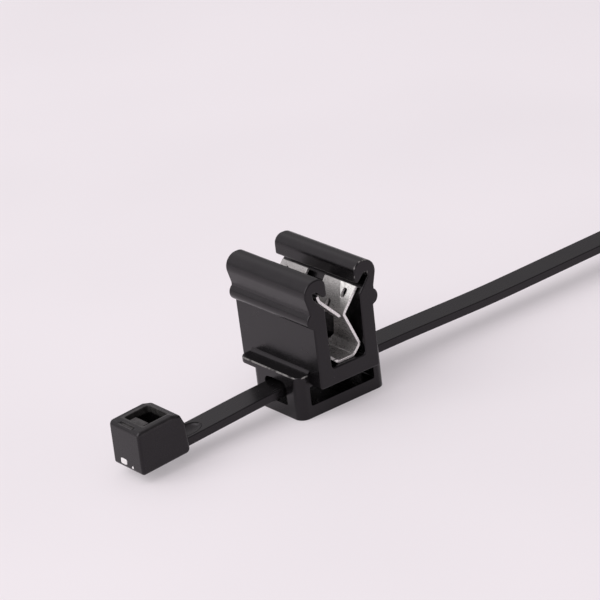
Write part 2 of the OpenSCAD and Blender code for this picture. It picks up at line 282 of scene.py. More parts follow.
# %% Lay the floor and set the light
FLOOR_SIDE = 6.0
FLOOR_COLOUR = (0.865, 0.815, 0.848, 1.0)
SHEET_SHADE = (0.823, 0.776, 0.808, 1.0)
TENT_COLOUR = (1.0, 0.955, 0.985, 1.0)
LIGHT_FROM = (-0.35, 0.35, 0.87)
TENT_STEP = (0.3, 0.8)
BRIGHT_STRENGTH = 0.92
DIM_STRENGTH = 0.32
FLOOR_GLOW = 0.38
KEY_PLACE = (-1250, 180, 950)
KEY_SIDE = 1700
KEY_POWER = 19.0


def make_floor():
    """A wide pale sheet under the object, with a glow that only the camera and shiny surfaces see."""
    material, shader, place = start_finish("pale_sheet")
    soft = place.noise(90.0, 2.0).between(0.3, 0.7)
    feed(
        shader,
        Base_Color=soft.blend(FLOOR_COLOUR, SHEET_SHADE),
        Roughness=0.75,
        Normal=raised(place.noise(0.8, 2.0), 0.01, 0.2),
    )

    def ray(kind):
        return place.add("ShaderNodeLightPath", output=f"Is {kind} Ray")

    seen = ray("Camera") + ray("Glossy") + ray("Transmission")
    glow = place.add("ShaderNodeEmission", {}, {"Color": FLOOR_COLOUR, "Strength": 1.0})
    sheet = Wire(material.node_tree, shader.outputs[0])
    both = place.add("ShaderNodeMixShader", {}, {0: seen * FLOOR_GLOW, 1: sheet, 2: glow})
    output = material.node_tree.nodes["Material Output"]
    material.node_tree.links.new(both.socket, output.inputs["Surface"])
    half = FLOOR_SIDE / 2
    mesh = bpy.data.meshes.new("floor")
    corners = [(-half, -half, 0), (half, -half, 0), (half, half, 0), (-half, half, 0)]
    mesh.from_pydata(corners, [], [(0, 1, 2, 3)])
    mesh.materials.append(material)
    floor = bpy.data.objects.new("floor", mesh)
    bpy.context.scene.collection.objects.link(floor)


def hang_lamp(name, place, side, power):
    """A soft square lamp at a place in millimetres, turned to face the object."""
    data = bpy.data.lights.new(name, "AREA")
    data.shape = "SQUARE"
    data.size = side * MM
    data.energy = power
    lamp = bpy.data.objects.new(name, data)
    bpy.context.scene.collection.objects.link(lamp)
    lamp.location = Vector(place) * MM
    lamp.rotation_euler = (-lamp.location).to_track_quat("-Z", "Y").to_euler()


def pitch_tent():
    """Light from all round: bright from above, a little to the left and behind, and dim from elsewhere."""
    world = bpy.data.worlds.new("light_tent")
    world.use_nodes = True
    tree = world.node_tree
    tree.nodes.clear()
    way = Wire(tree).add("ShaderNodeTexCoord")
    inputs = {0: way, 1: LIGHT_FROM}
    facing = way.add("ShaderNodeVectorMath", {"operation": "DOT_PRODUCT"}, inputs, "Value")
    dim = way.add("ShaderNodeBackground", {}, {"Color": TENT_COLOUR, "Strength": DIM_STRENGTH})
    bright = way.add("ShaderNodeBackground", {}, {"Color": TENT_COLOUR, "Strength": BRIGHT_STRENGTH})
    both = way.add("ShaderNodeMixShader", {}, {0: facing.between(*TENT_STEP), 1: dim, 2: bright})
    output = tree.nodes.new("ShaderNodeOutputWorld")
    tree.links.new(both.socket, output.inputs["Surface"])
    bpy.context.scene.world = world


make_floor()
pitch_tent()
hang_lamp("key_lamp", KEY_PLACE, KEY_SIDE, KEY_POWER)
bpy.context.scene.view_settings.view_transform = "Standard"

# %% [markdown]
# ## Outlines and rounded prisms
# Nearly every form here is an outline pushed along one axis. Moulded and stamped edges are never quite
# sharp, and it is their small rounding that catches the light. So an outline is pushed in a few steps:
# at each end it is drawn a little smaller, and the steps follow a quarter circle.

# %% Draw outlines
ARC_STEP = 8.0
LEAST_REACH = 0.4


def arc(centre, radius, start, end):
    """Points on a circle from one angle to another, in degrees."""
    steps = max(2, math.ceil(abs(end - start) / ARC_STEP))
    points = []
    for i in range(steps + 1):
        angle = math.radians(start + (end - start) * i / steps)
        points.append((centre[0] + radius * math.cos(angle), centre[1] + radius * math.sin(angle)))
    return points


def rounded(corners):
    """A closed outline from (u, v, radius) corners; a corner of radius 0 stays as it is."""
    outline = []
    count = len(corners)
    for i, (u, v, radius) in enumerate(corners):
        corner = Vector((u, v))
        if radius == 0:
            outline.append((u, v))
            continue
        back = (Vector(corners[i - 1][:2]) - corner).normalized()
        on = (Vector(corners[(i + 1) % count][:2]) - corner).normalized()
        half = back.angle(on) / 2
        centre = corner + (back + on).normalized() * (radius / math.sin(half))
        first = corner + back * (radius / math.tan(half)) - centre
        last = corner + on * (radius / math.tan(half)) - centre
        start = math.degrees(math.atan2(first.y, first.x))
        turn = math.degrees(math.atan2(last.y, last.x)) - start
        turn = (turn + 180) % 360 - 180
        outline += arc(centre, radius, start, start + turn)
    return outline


def plate_outline(width, length, radius, middle=(0.0, 0.0)):
    """A rectangle with round corners."""
    u, v = width / 2, length / 2
    x, y = middle
    signs = [(-1, -1), (1, -1), (1, 1), (-1, 1)]
    return rounded([(x + a * u, y + b * v, radius) for a, b in signs])


def shrunk(outline, depth):
    """The outline with every point moved inwards by depth; it runs anticlockwise."""
    moved = []
    count = len(outline)
    for i, point in enumerate(outline):
        here = Vector(point)
        back = (here - Vector(outline[i - 1])).normalized()
        on = (Vector(outline[(i + 1) % count]) - here).normalized()
        side = Vector((-back.y, back.x)) + Vector((-on.y, on.x))
        reach = max(LEAST_REACH, 1 + back.dot(on))
        moved.append(tuple(here + side * (depth / reach)))
    return moved


print("a plate of 10 by 4 has", len(plate_outline(10, 4, 1)), "points")

# %% Push an outline along an axis
EDGE_STEPS = 4
SAME_POINT = 0.004
AXES = {
    "X": lambda u, v, w: (w, u, v),
    "Y": lambda u, v, w: (u, w, v),
    "Z": lambda u, v, w: (u, v, w),
}


def clean(outline):
    """The outline without points that lie on each other."""
    kept = []
    for point in outline:
        if not kept or (Vector(point) - Vector(kept[-1])).length > SAME_POINT:
            kept.append(point)
    if (Vector(kept[0]) - Vector(kept[-1])).length <= SAME_POINT:
        kept.pop()
    return kept


def new_object(name, bm):
    """Turns a bmesh in millimetres into a linked object in metres."""
    bmesh.ops.scale(bm, vec=(MM, MM, MM), verts=bm.verts)
    bmesh.ops.recalc_face_normals(bm, faces=bm.faces)
    mesh = bpy.data.meshes.new(name)
    bm.to_mesh(mesh)
    bm.free()
    piece = bpy.data.objects.new(name, mesh)
    bpy.context.scene.collection.objects.link(piece)
    return piece


def skin(bm, rings):
    """Stitches rings of points to each other, and caps the first and the last ring."""
    count = len(rings[0])
    for first, second in zip(rings, rings[1:]):
        for i in range(count):
            j = (i + 1) % count
            bm.faces.new((first[i], first[j], second[j], second[i]))
    bm.faces.new(rings[0])
    bm.faces.new(rings[-1])


def prism(name, outline, low, high, axis, edge=0.0):
    """An outline pushed from low to high along an axis, with its end edges rounded by edge."""
    outline = clean(outline)
    levels = []
    if edge == 0:
        levels = [(low, 0.0), (high, 0.0)]
    else:
        for i in range(EDGE_STEPS + 1):
            angle = math.radians(90 * i / EDGE_STEPS)
            levels.append((edge * (1 - math.cos(angle)), edge * (1 - math.sin(angle))))
        ends = [(high - step, inset) for step, inset in reversed(levels)]
        levels = [(low + step, inset) for step, inset in levels] + ends
    place = AXES[axis]
    bm = bmesh.new()
    rings = []
    for level, inset in levels:
        ring = shrunk(outline, inset) if inset > 0 else outline
        rings.append([bm.verts.new(place(u, v, level)) for u, v in ring])
    skin(bm, rings)
    return new_object(name, bm)


def settle(piece):
    """Applies the modifiers of a piece to its mesh."""
    graph = bpy.context.evaluated_depsgraph_get()
    mesh = bpy.data.meshes.new_from_object(piece.evaluated_get(graph))
    old = piece.data
    piece.modifiers.clear()
    piece.data = mesh
    bpy.data.meshes.remove(old)


def join(piece, other, how):
    """Adds another closed mesh to a piece, or cuts it out; the other mesh is used up."""
    step = piece.modifiers.new("join", "BOOLEAN")
    step.operation = how
    step.solver = "EXACT"
    step.object = other
    settle(piece)
    bpy.data.objects.remove(other)


def soften(piece, width, angle=38.0):
    """Rounds the edges that are still sharp."""
    step = piece.modifiers.new("soften", "BEVEL")
    step.width = width * MM
    step.segments = 2
    step.limit_method = "ANGLE"
    step.angle_limit = math.radians(angle)
    step.use_clamp_overlap = False
    settle(piece)


def dress(piece, material, node, sharp=32.0):
    """Gives a finished piece its material, its smooth shading and its place in the frame."""
    piece.data.materials.clear()
    piece.data.materials.append(material)
    piece.data.shade_smooth()
    piece.data.set_sharp_from_angle(angle=math.radians(sharp))
    even = piece.modifiers.new("even_shading", "WEIGHTED_NORMAL")
    even.keep_sharp = True
    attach(piece, "root")
    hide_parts(node)
    low = [min(v.co[i] for v in piece.data.vertices) / MM for i in range(3)]
    high = [max(v.co[i] for v in piece.data.vertices) / MM for i in range(3)]
    print(piece.name, len(piece.data.polygons), "faces, mm from",
          [round(value, 2) for value in low], "to", [round(value, 2) for value in high])


print("prism ends take", EDGE_STEPS, "steps")

# %% [markdown]
# ## The clip's jaw
# The jaw is a U of plastic with a hooked lip at the top of each wall and a round rib under each lip.
# All of it is one outline seen from the front, so that is what is drawn: up the outside over rib, neck and
# lip, down the upright face, round the hook's nose, into the pocket behind it, and down to the floor.
# Only the right half is worked out, and the left half is its mirror image.

# %% Sizes of the jaw
JAW_UNDER = 5.3
JAW_FLOOR = 8.1
JAW_TOP = 23.55
JAW_HALF = 5.9
JAW_WALL = 2.55
WALL_LEAN = math.tan(math.radians(0.7))
JAW_FRONT = -8.4
JAW_REAR = 11.6
JAW_EDGE = 0.25
LIP_RADIUS = 2.2
LIP_OVERHANG = 1.0
LIP_TAPER = 15.0
RIB_RADIUS = 1.4
RIB_DROP = 4.3
NECK_RISE = 1.7
MOUTH_HALF = 2.85
NOSE_RADIUS = 0.45
NOSE_DROP = 0.7
LIP_INNER = 1.6
HOOK_SLOPE = 45.0
POCKET_DEPTH = 1.95
POCKET_RISE = 0.8
POCKET_SLOPE = 2.4
JAW_CORNER = 0.4
RIB_FILLETS = (0.12, 0.15)
NECK_FILLET = 0.3
POCKET_FILLET = 0.12
POCKET_CORNER = 0.3
FLOOR_FILLET = 0.5


def outer_x(z):
    """The outside of the jaw's right wall at a height; the walls lean out a little."""
    return JAW_HALF + (z - JAW_UNDER) * WALL_LEAN


def inner_x(z):
    """The inside of the same wall."""
    return outer_x(z) - JAW_WALL


lip_z = JAW_TOP - LIP_RADIUS
lips_half = outer_x(lip_z) + LIP_OVERHANG
lip_centre = (lips_half - LIP_RADIUS, lip_z)
rib_centre = (lips_half - RIB_RADIUS, lip_z - RIB_DROP)
nose_centre = (MOUTH_HALF + NOSE_RADIUS, lip_z - NOSE_DROP)
neck_z = rib_centre[1] + NECK_RISE
pocket_top = nose_centre[1] + POCKET_RISE
pocket_low = nose_centre[1] - POCKET_SLOPE
pocket_reach = inner_x(nose_centre[1]) + POCKET_DEPTH
print("the lips are", round(2 * lips_half, 2), "mm wide")


# %% Draw the jaw and make it
def crossing(centre, radius, x):
    """The angle, seen from a circle's middle, at which the upright line at x crosses that circle."""
    return math.degrees(math.acos((x - centre[0]) / radius))


def jaw_half():
    """The right half of the jaw's outline: corners of X, Z and radius, from the underside to the floor."""
    crest = arc(lip_centre, LIP_RADIUS, -LIP_TAPER, 90)
    neck_x = crest[0][0] - (crest[0][1] - neck_z) * math.tan(math.radians(LIP_TAPER))
    low_side = -crossing(rib_centre, RIB_RADIUS, outer_x(rib_centre[1] - RIB_RADIUS))
    rib = arc(rib_centre, RIB_RADIUS, low_side, crossing(rib_centre, RIB_RADIUS, neck_x))
    nose = arc(nose_centre, NOSE_RADIUS, 180, 270 + HOOK_SLOPE)
    hook_x = nose[-1][0] + (pocket_top - nose[-1][1]) / math.tan(math.radians(HOOK_SLOPE))
    corners = [(outer_x(JAW_UNDER), JAW_UNDER, JAW_CORNER)]
    corners += [(*rib[0], RIB_FILLETS[0])]
    corners += [(u, v, 0) for u, v in rib[1:-1]]
    corners += [(*rib[-1], RIB_FILLETS[1])]
    corners += [(neck_x, neck_z, NECK_FILLET)]
    corners += [(u, v, 0) for u, v in crest]
    corners += [(MOUTH_HALF, JAW_TOP, LIP_INNER)]
    corners += [(u, v, 0) for u, v in nose]
    corners += [(hook_x, pocket_top, POCKET_FILLET), (pocket_reach, pocket_top, POCKET_FILLET)]
    corners += [(pocket_reach, nose_centre[1], POCKET_CORNER)]
    corners += [(inner_x(pocket_low), pocket_low, FLOOR_FILLET)]
    corners += [(inner_x(JAW_FLOOR), JAW_FLOOR, FLOOR_FILLET)]
    return corners


right_half = jaw_half()
left_half = [(-u, v, radius) for u, v, radius in reversed(right_half)]
clip = prism("clip_shell", rounded(right_half + left_half), JAW_FRONT, JAW_REAR, "Y", JAW_EDGE)
print("jaw:", len(clip.data.polygons), "faces")

# %% [markdown]
# ## The saddle under the jaw
# Under the jaw stands a low block, the saddle. A wide slot runs through it from front to back, and two
# arched openings in its side walls let the tie through. A thin ledge with round corners covers it, flush
# with its front and sides but longer at the back. The openings are cut first, then their edges are
# softened, and only then is the block joined to the jaw, so that the jaw's own rounding stays as it is.

# %% Make the saddle and cut its openings
SADDLE_WIDTH = 17.3
SADDLE_LENGTH = 11.9
SADDLE_CORNER = 1.6
SADDLE_EDGE_ROUND = 0.15
PLATE_THICKNESS = 2.1
SLOT_HALF = 6.4
SLOT_CORNER = 0.3
ARCH_HALF = 2.6
ARCH_TOP = 5.9
ARCH_FOOT = 0.2
ARCH_CORNER = 1.0
OPENING_ROUND = 0.14
LEDGE_TOP = 7.4
FLUSH = 0.01
SUNK = 0.1
BEYOND = 1.0

saddle_plan = plate_outline(SADDLE_WIDTH - 2 * FLUSH, SADDLE_LENGTH - 2 * FLUSH, SADDLE_CORNER)
saddle = prism("saddle", saddle_plan, 0, LEDGE_TOP - 3 * FLUSH, "Z", SADDLE_EDGE_ROUND)
slot_section = rounded([
    (-SLOT_HALF, PLATE_THICKNESS, SLOT_CORNER), (SLOT_HALF, PLATE_THICKNESS, SLOT_CORNER),
    (SLOT_HALF, JAW_UNDER, SLOT_CORNER), (-SLOT_HALF, JAW_UNDER, SLOT_CORNER),
])
slot_reach = SADDLE_LENGTH / 2 + BEYOND
join(saddle, prism("slot", slot_section, -slot_reach, slot_reach, "Y"), "DIFFERENCE")
arch_section = rounded([
    (-ARCH_HALF, PLATE_THICKNESS, ARCH_FOOT), (ARCH_HALF, PLATE_THICKNESS, ARCH_FOOT),
    (ARCH_HALF, ARCH_TOP, ARCH_CORNER), (-ARCH_HALF, ARCH_TOP, ARCH_CORNER),
])
arch_reach = SADDLE_WIDTH / 2 + BEYOND
for side in (-1, 1):
    ends = sorted((side * (SLOT_HALF - SUNK), side * arch_reach))
    join(saddle, prism("arch", arch_section, ends[0], ends[1], "X"), "DIFFERENCE")
soften(saddle, OPENING_ROUND)
print("saddle:", len(saddle.data.polygons), "faces")

# %% Add the ledge and the feet
LEDGE_LOW = 6.35
LEDGE_LENGTH = 15.1
LEDGE_EDGE = 0.22
FOOT_FILLET = 0.7
FOOT_SHORT = 0.3
JAW_MIDDLE = (JAW_FRONT + JAW_REAR) / 2

ledge_plan = plate_outline(SADDLE_WIDTH, LEDGE_LENGTH, SADDLE_CORNER, (0, JAW_MIDDLE))
join(saddle, prism("ledge", ledge_plan, LEDGE_LOW, LEDGE_TOP, "Z", LEDGE_EDGE), "UNION")
join(clip, saddle, "UNION")


def foot_section(side):
    """The hollow fillet between the ledge and the jaw's wall."""
    x = outer_x(LEDGE_TOP)
    hollow = arc((x + FOOT_FILLET, LEDGE_TOP + FOOT_FILLET), FOOT_FILLET, 180, 270)
    section = [(x - SUNK, LEDGE_TOP - SUNK), (x - SUNK, LEDGE_TOP + FOOT_FILLET)] + hollow
    section += [(x + FOOT_FILLET, LEDGE_TOP - SUNK)]
    return [(side * u, v) for u, v in (section if side < 0 else reversed(section))]


foot_half = LEDGE_LENGTH / 2 - FOOT_SHORT
for side in (-1, 1):
    foot = prism("foot", foot_section(side), JAW_MIDDLE - foot_half, JAW_MIDDLE + foot_half, "Y")
    join(clip, foot, "UNION")
print("clip:", len(clip.data.polygons), "faces")

# %% Paint the clip's edge highlights and worn line, and dress it
SADDLE_EDGE = SADDLE_WIDTH / 2
CLIP_BLACK = (0.0022, 0.0020, 0.0022, 1.0)
CLIP_WORN = (0.0046, 0.0042, 0.0046, 1.0)
CLIP_FLOW = (1.0, 0.2, 1.0)
CLIP_SHINE = 0.24
ledge_front = JAW_MIDDLE - LEDGE_LENGTH / 2


def clip_wear_and_painted_highlights(place):
    """Where the clip is painted paler: a worn line along the ledge's top edge, painted highlights at the
    ledge's front ends and, in specks, on the right lip's ends.
    """
    x, y, z = place.parts()
    aside = x.size()
    level = z.past(LEDGE_TOP - 0.24, LEDGE_TOP - 0.14) * (1 - z.past(LEDGE_TOP + 0.04, LEDGE_TOP + 0.1))
    side = aside.past(SADDLE_EDGE - 0.27, SADDLE_EDGE - 0.15)
    # At the ledge's front ends the pale mark is a painted highlight; along its sides it is a worn line.
    front = (1 - y.past(ledge_front + 0.09, ledge_front + 0.23)) * aside.past(JAW_HALF + 0.5, JAW_HALF + 1.0)
    ledge = level * (side + front * 2.0) * place.noise(1.3, 3.0).between(0.3, 0.6) * 0.6
    # The rims of the right lip's front and rear ends get painted highlight specks.
    near_rim = y.past(JAW_FRONT + 0.01, JAW_FRONT + 0.06) * (1 - y.past(JAW_FRONT + 0.2, JAW_FRONT + 0.35))
    far_rim = y.past(JAW_REAR - 0.35, JAW_REAR - 0.2) * (1 - y.past(JAW_REAR - 0.06, JAW_REAR - 0.01))
    lips = z.past(lip_z - 0.75, lip_z - 0.35) * x.past(0.0, 1.0) * (near_rim + far_rim)
    return ledge + lips * place.noise(0.7, 3.0).between(0.48, 0.62) * 0.5


CLIP_NYLON = make_nylon("clip_nylon", CLIP_BLACK, CLIP_WORN, CLIP_FLOW, CLIP_SHINE, clip_wear_and_painted_highlights)
dress(clip, CLIP_NYLON, "clip_body")

# %% [markdown]
# ## The spring
# The spring is one strip of sheet bent along its length: a flat base, two legs that lean together to a
# waist, and fingers that flare out under the lips. The left fingers stand a little lower and curl up at
# their tips. A bent strip is a centre line drawn twice, once to each side.
# Windows, notches and slits are then punched through the legs, each leg by its own punches. Last, the free
# corners of the right fingers are folded outwards, which makes them barbs.

# %% Bend the strip
SHEET = 0.5
SHEET_BEND = 0.7
SPRING_HALF = 9.2
TIP_GAP = 0.3
FLARE_REACH = 3.3
CURLED_REACH = 3.85
CURLED_DROP = 0.25
CURL_OUT = 0.3
CURL_UP = 1.0
KNEE_RISE = 1.75
KNEE_PLAY = 0.1
WAIST_HALF = 0.55
WAIST_HEIGHT = 7.7
WAIST_SHIFT = 0.45

base_z = JAW_FLOOR + SHEET / 2
knee_z = JAW_FLOOR + KNEE_RISE
knee = (inner_x(knee_z) - SHEET / 2 - KNEE_PLAY, knee_z)
foot_x = knee[0] - KNEE_RISE + SHEET / 2
waist = (WAIST_HALF, JAW_FLOOR + WAIST_HEIGHT)
tip = (FLARE_REACH, nose_centre[1] - NOSE_RADIUS - TIP_GAP - SHEET / 2)


def bent(points, radius):
    """A path of straight runs with a round bend at each inner point."""
    path = [points[0]]
    for i in range(1, len(points) - 1):
        trio = [(*points[i - 1], 0), (*points[i], radius), (*points[i + 1], 0)]
        path += rounded(trio)[1:-1]
    return path + [points[-1]]


def both_faces(path, thickness):
    """The outline of a sheet whose middle follows the path."""
    sides = ([], [])
    for i, point in enumerate(path):
        here = Vector(point)
        back = (here - Vector(path[i - 1])).normalized() if i else None
        on = (Vector(path[i + 1]) - here).normalized() if i + 1 < len(path) else None
        back, on = back or on, on or back
        across = Vector((-back.y, back.x)) + Vector((-on.y, on.x))
        step = across * (thickness / 2 / (1 + back.dot(on)))
        sides[0].append(tuple(here - step))
        sides[1].append(tuple(here + step))
    return sides[0] + sides[1][::-1]


right_leg = [(foot_x, base_z), knee, waist, tip]
left_waist = (WAIST_SHIFT - waist[0], waist[1] - CURLED_DROP)
curl = (-CURLED_REACH, tip[1] - CURLED_DROP)
left_leg = [
    (-foot_x, base_z), (-knee[0], knee[1]), left_waist, curl, (curl[0] - CURL_OUT, curl[1] + CURL_UP),
]
spring_path = bent(left_leg[::-1] + right_leg, SHEET_BEND)
spring = prism(
    "spring_sheet", both_faces(spring_path, SHEET),
    JAW_MIDDLE - SPRING_HALF, JAW_MIDDLE + SPRING_HALF, "Y",
)
print("spring path has", len(spring_path), "points")

# %% Punch the legs
FINGER_GAP = 4.3
STRIP_WIDTH = 2.2
STRIP_FOOT = 6.8
NOTCH_PLACE = 3.5
NOTCH_WIDTH = 1.0
NOTCH_HEIGHT = 1.3
SLIT_WIDTH = 0.8
SLIT_LENGTH = 1.3
SLIT_HEIGHT = 2.65
SLIT_INSETS = {-1: 1.6, 1: 2.4}
PUNCH_REACH = 7.0
PUNCH_TOP = 22.0
ROUND_SHARE = 0.98
between_legs = WAIST_SHIFT / 2
gap_half = FINGER_GAP / 2
window_low = base_z + SHEET


def strip_punches(slit_inset):
    """Window with its notch, and slit, beside a strip whose outer side is at 0."""
    notch_in, notch_out = NOTCH_PLACE, NOTCH_PLACE + NOTCH_WIDTH
    notch_top = waist[1] + NOTCH_HEIGHT
    round_end = NOTCH_WIDTH / 2 * ROUND_SHARE
    window = rounded([
        (STRIP_FOOT, window_low, 0), (SPRING_HALF + BEYOND, window_low, 0),
        (SPRING_HALF + BEYOND, waist[1], 0), (notch_out, waist[1], 0),
        (notch_out, notch_top, round_end), (notch_in, notch_top, round_end),
        (notch_in, waist[1], 0), (STRIP_WIDTH, waist[1], 0),
    ])
    slit_middle = (slit_inset, waist[1] + SLIT_HEIGHT)
    slit = plate_outline(SLIT_WIDTH, SLIT_LENGTH, SLIT_WIDTH / 2 * ROUND_SHARE, slit_middle)
    return window, slit


def punch(outline, side):
    """Cuts an outline of Y and Z through the leg on one side."""
    outline = [(JAW_MIDDLE + u, v) for u, v in outline]
    ends = (between_legs, PUNCH_REACH) if side > 0 else (-PUNCH_REACH, between_legs)
    join(spring, prism("punch", outline, ends[0], ends[1], "X"), "DIFFERENCE")


def beside(shape, side, end):
    """A punch set in from the right leg's end, or out from the left leg's gap, where it stands lower."""
    if side > 0:
        outline = [(end * (SPRING_HALF - u), v) for u, v in shape]
    else:
        outline = [(end * (gap_half + u), v if v == window_low else v - CURLED_DROP) for u, v in shape]
    return outline if (end > 0) != (side > 0) else outline[::-1]


gap = [
    (-gap_half, window_low), (gap_half, window_low), (gap_half, PUNCH_TOP), (-gap_half, PUNCH_TOP),
]
for side in (1, -1):
    punch(gap, side)
    for end in (-1, 1):
        for shape in strip_punches(SLIT_INSETS[end]):
            punch(beside(shape, side, end), side)
print("spring:", len(spring.data.polygons), "faces after punching")

# %% Fold the barbs
FOLD_ANGLE = math.radians(11.0)
FOLD_LEAN = math.radians(28.0)
FOLD_SINK = 1.2
ON_PLANE = 0.002
LEG_CLEAR = 0.02
SPRING_EDGE = 0.07


def fold_barb(bm, end):
    """Bends the free corner of a right finger outwards along a leaning line from below the waist."""
    up = Vector((FLARE_REACH - waist[0], 0, tip[1] - waist[1])).normalized()
    inner = Vector((-up.z, 0, up.x))
    across = up * math.sin(FOLD_LEAN) + Vector((0, end * math.cos(FOLD_LEAN), 0))
    start = Vector((waist[0], JAW_MIDDLE + end * SPRING_HALF, waist[1])) - up * FOLD_SINK

    def on_finger(vert):
        return vert.co.x - between_legs > LEG_CLEAR and vert.co.z > waist[1]

    def past_gap(place):
        return end * (place.y - JAW_MIDDLE) > gap_half

    def of_finger(face):
        return past_gap(face.calc_center_median()) and any(on_finger(vert) for vert in face.verts)

    faces = [face for face in bm.faces if of_finger(face)]
    parts = {part for face in faces for part in (*face.verts, *face.edges)}
    bmesh.ops.bisect_plane(bm, geom=list(parts) + faces, dist=ON_PLANE / 2, plane_co=start, plane_no=across)
    swing = across * (1 - math.cos(FOLD_ANGLE)) + inner * math.sin(FOLD_ANGLE)
    for vert in bm.verts:
        depth = (vert.co - start).dot(across)
        if depth > ON_PLANE and on_finger(vert) and past_gap(vert.co):
            vert.co -= swing * depth


bm = bmesh.new()
bm.from_mesh(spring.data)
bmesh.ops.scale(bm, vec=(1 / MM, 1 / MM, 1 / MM), verts=bm.verts)
for end in (-1, 1):
    fold_barb(bm, end)
bmesh.ops.scale(bm, vec=(MM, MM, MM), verts=bm.verts)
bm.to_mesh(spring.data)
bm.free()
soften(spring, SPRING_EDGE, angle=42.0)
dress(spring, SPRING_STEEL, "spring_insert", sharp=9.0)

# %% [markdown]
# ## The tie's strap
# The strap is a long ribbon with round top edges and, underneath, saw teeth in a shallow groove between
# two smooth rails. It is lofted: the same cross-section is set down many times along the ribbon's path,
# and the groove's depth rises and drops from one section to the next, which makes the teeth.

# %% The path of the strap
STRAP_THICKNESS = 1.45
HEAD_AWAY = 19.85
STRAP_START = -SADDLE_EDGE - HEAD_AWAY
HEAD_LENGTH = 8.7
TIE_LENGTH = 200.0
STRAP_END = STRAP_START - HEAD_LENGTH + TIE_LENGTH
SEAT_PLAY = 0.2
SEAT_Z = JAW_UNDER - STRAP_THICKNESS - SEAT_PLAY
SEAT_SLOPE = 0.009
HEAD_SLOPE = 0.068
SAG_SLOPE = -0.017
FREE_SLOPE = 0.0185
HEAD_BEND = (SADDLE_EDGE - 2.65, SADDLE_EDGE + 7.35)
SAG_BEND = (SADDLE_EDGE + 1.35, SADDLE_EDGE + 11.35)
FREE_BEND = (SADDLE_EDGE + 21.35, SADDLE_EDGE + 33.35)
TAIL_BEND = (STRAP_END - 82.8, STRAP_END - 42.8)


def ramp(x, bend):
    """The climb of a path whose slope grows evenly from 0 to 1 between two places."""
    low, high = bend
    if x <= low:
        return 0.0
    if x >= high:
        return x - (low + high) / 2
    return (x - low) ** 2 / (2 * (high - low))


def carried_z(x):
    """The underside's height where the saddle and the strap's own stiffness carry it."""
    dip = (HEAD_SLOPE - SEAT_SLOPE) * ramp(-x, HEAD_BEND)
    sag = (SAG_SLOPE - SEAT_SLOPE) * ramp(x, SAG_BEND)
    rise = (FREE_SLOPE - SAG_SLOPE) * ramp(x, FREE_BEND)
    return SEAT_Z + SEAT_SLOPE * x - dip + sag + rise


tail_turn = -carried_z(STRAP_END) / ramp(STRAP_END, TAIL_BEND)


def strap_z(x):
    """The same height with the tail bent down to the floor."""
    return carried_z(x) + tail_turn * ramp(x, TAIL_BEND)


head_lift = strap_z(STRAP_START)
print("strap runs from", round(STRAP_START, 2), "to", round(STRAP_END, 2), "mm")

# %% Loft the strap
STRAP_WIDTH = 4.6
TOOTH_PITCH = 1.2
TOOTH_DEPTH = 0.45
TOOTH_FIRST = 14.0
TOOTH_SHARE = 0.75
TOOTH_DRAFT = 0.06
TOOTH_FALL = 0.03
RAIL_WIDTH = 0.7
LEAST_GROOVE = 0.2
CROWN_SHARE = 0.45
ROOT_SUNK = 0.7
LOW_ROUND = 0.2
TOP_ROUND = 0.18
TIP_ROUND = 0.3
TAIL_LENGTH = 14.0
TAIL_TIP = 2.2
PLAIN_STEPS = 24
TAIL_STEPS = 14


def strap_section(x, groove, inset=0.0):
    """The strap's outline of Y and Z at one place; groove is the depth cut into its underside."""
    taper = max(0.0, x - (STRAP_END - TAIL_LENGTH)) / TAIL_LENGTH
    half = (STRAP_WIDTH + (TAIL_TIP - STRAP_WIDTH) * taper) / 2 - inset
    low, high = strap_z(x) + inset, strap_z(x) + STRAP_THICKNESS - inset
    inner = max(LEAST_GROOVE, half - RAIL_WIDTH)
    right = [(inner - TOOTH_DRAFT, low + groove), (inner, low)]
    right += arc((half - LOW_ROUND, low + LOW_ROUND), LOW_ROUND, -90, 0)
    right += arc((half - TOP_ROUND, high - TOP_ROUND), TOP_ROUND, 0, 90)
    right += [(half * CROWN_SHARE, high)]
    return right + [(-y, z) for y, z in reversed(right)]


def strap_stations():
    """Where sections are set down, and how deep the groove is there."""
    first = STRAP_START - ROOT_SUNK
    teeth_from = STRAP_START + TOOTH_FIRST
    teeth = int((STRAP_END - TAIL_LENGTH - teeth_from) / TOOTH_PITCH)
    stations = []
    for i in range(PLAIN_STEPS):
        stations.append((first + (teeth_from - first) * i / PLAIN_STEPS, 0.0))
    for i in range(teeth):
        x = teeth_from + i * TOOTH_PITCH
        steep = x + TOOTH_SHARE * TOOTH_PITCH
        stations += [(x, 0.0), (steep, TOOTH_DEPTH), (steep + TOOTH_FALL, 0.0)]
    x = teeth_from + teeth * TOOTH_PITCH
    for i in range(TAIL_STEPS):
        stations.append((x + (STRAP_END - TIP_ROUND - x) * i / TAIL_STEPS, 0.0))
    return stations


bm = bmesh.new()
rings = []
sections = [(x, strap_section(x, groove)) for x, groove in strap_stations()]
for i in range(EDGE_STEPS + 1):
    angle = math.radians(90 * i / EDGE_STEPS)
    x = STRAP_END - TIP_ROUND * (1 - math.sin(angle))
    sections.append((x, strap_section(x, 0.0, TIP_ROUND * (1 - math.cos(angle)))))
for x, section in sections:
    rings.append([bm.verts.new((x, y, z)) for y, z in section])
skin(bm, rings)
tie = new_object("tie_strap_and_head", bm)
print("strap:", len(rings), "sections")
